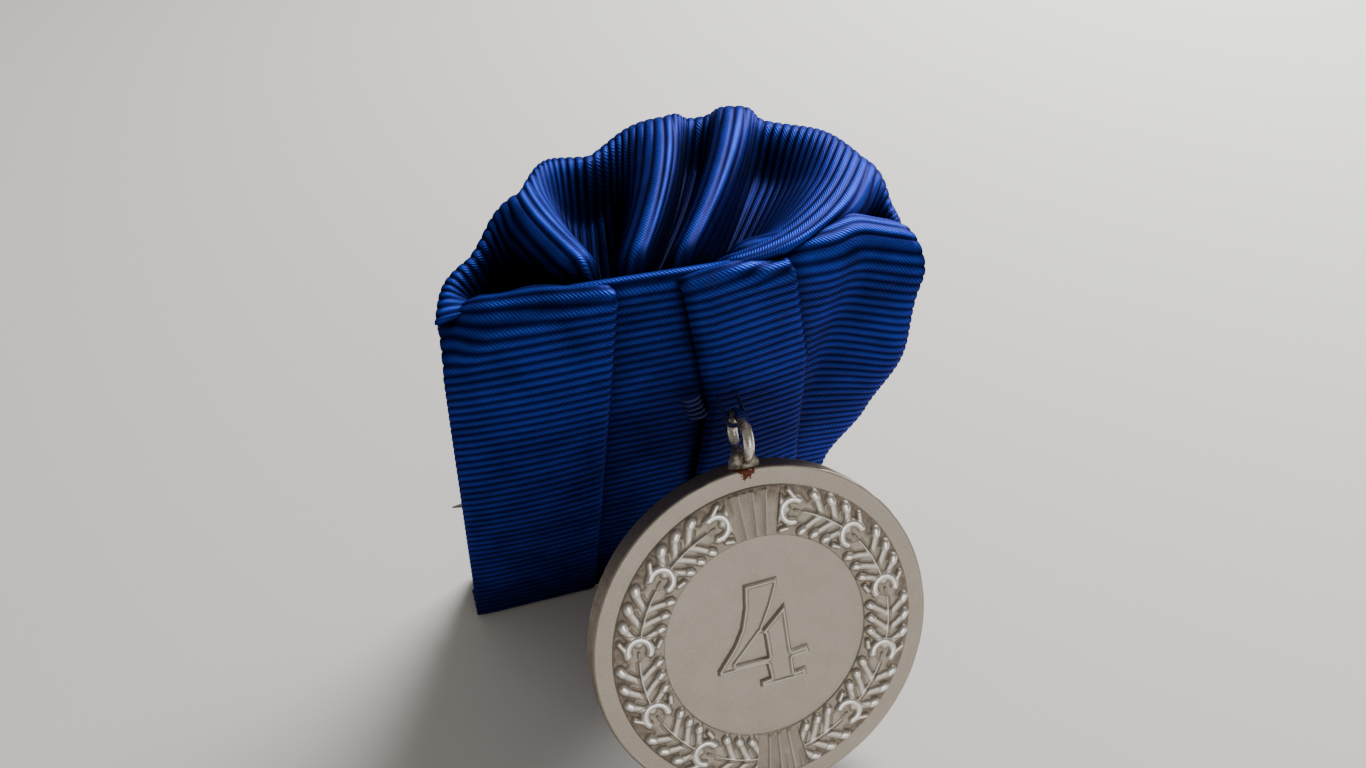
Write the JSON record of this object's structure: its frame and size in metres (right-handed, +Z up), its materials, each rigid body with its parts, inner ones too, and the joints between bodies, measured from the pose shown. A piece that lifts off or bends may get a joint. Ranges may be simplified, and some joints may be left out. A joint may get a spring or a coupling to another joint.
{
  "type": "service medal on ribbon mount",
  "caption": "Round struck medal with an oak wreath and numeral, hung by a loop from a pleated and gathered ribbon mount with a brooch pin.",
  "frame": {"origin": "middle of the padding's foot edge, on the surface that the mount stands on", "axes": "+X along the mount's width to the viewer's right, +Y to the mount's back, +Z up"},
  "size_m": [0.0391, 0.0404, 0.048],
  "materials": {
    "medal_silver": "matt silver plate, struck, with worn highlights and dirt in the recesses",
    "solder": "dull soft solder",
    "ribbon_silk": "ribbed rayon silk ribbon, slight sheen",
    "felt": "grey wool felt",
    "sewing_thread": "twisted cotton thread",
    "plate_zinc": "rolled sheet",
    "brooch_steel": "tinned sheet, dulled",
    "pin_steel": "drawn wire, darkened"
  },
  "bodies": {
    "mount": {"front_padding": "felt", "base_plate": "plate_zinc", "back_lining": "felt", "ribbon_left_wing": "ribbon_silk", "ribbon_left_under": "ribbon_silk", "ribbon_centre_strip": "ribbon_silk", "ribbon_right_wing": "ribbon_silk", "ribbon_fan": "ribbon_silk", "ribbon_hem": "ribbon_silk", "gather_stitches": "sewing_thread", "bar_tack": "sewing_thread", "lining_stitches": "sewing_thread", "brooch_bar": "brooch_steel", "brooch_rivets": "brooch_steel", "hinge_lugs": "brooch_steel", "hinge_rivet": "brooch_steel", "pin_catch": "brooch_steel"},
    "pin": {"pin_wire": "pin_steel"},
    "thread_sling": {"hanging_thread": "sewing_thread"},
    "medal": {"suspension_loop": "medal_silver", "loop_solder": "solder", "medal_disc": "medal_silver"}
  },
  "joints": [
    {"name": "medal_sway", "type": "hinge", "parent": "mount", "child": "thread_sling", "pos_m": [0.0043, -0.01317, 0.03029], "axis": [0, 0.9703, 0.2419], "range_deg": [-12, 12]},
    {"name": "medal_tilt", "type": "hinge", "parent": "thread_sling", "child": "medal", "pos_m": [0.0043, -0.01317, 0.03029], "axis": [1, 0, 0], "range_deg": [-110, 41]},
    {"name": "pin_swing", "type": "hinge", "parent": "mount", "child": "pin", "pos_m": [0.0115, 0.00226, 0.01159], "axis": [0, 0.2419, -0.9703], "range_deg": [0, 100]}
  ]
}
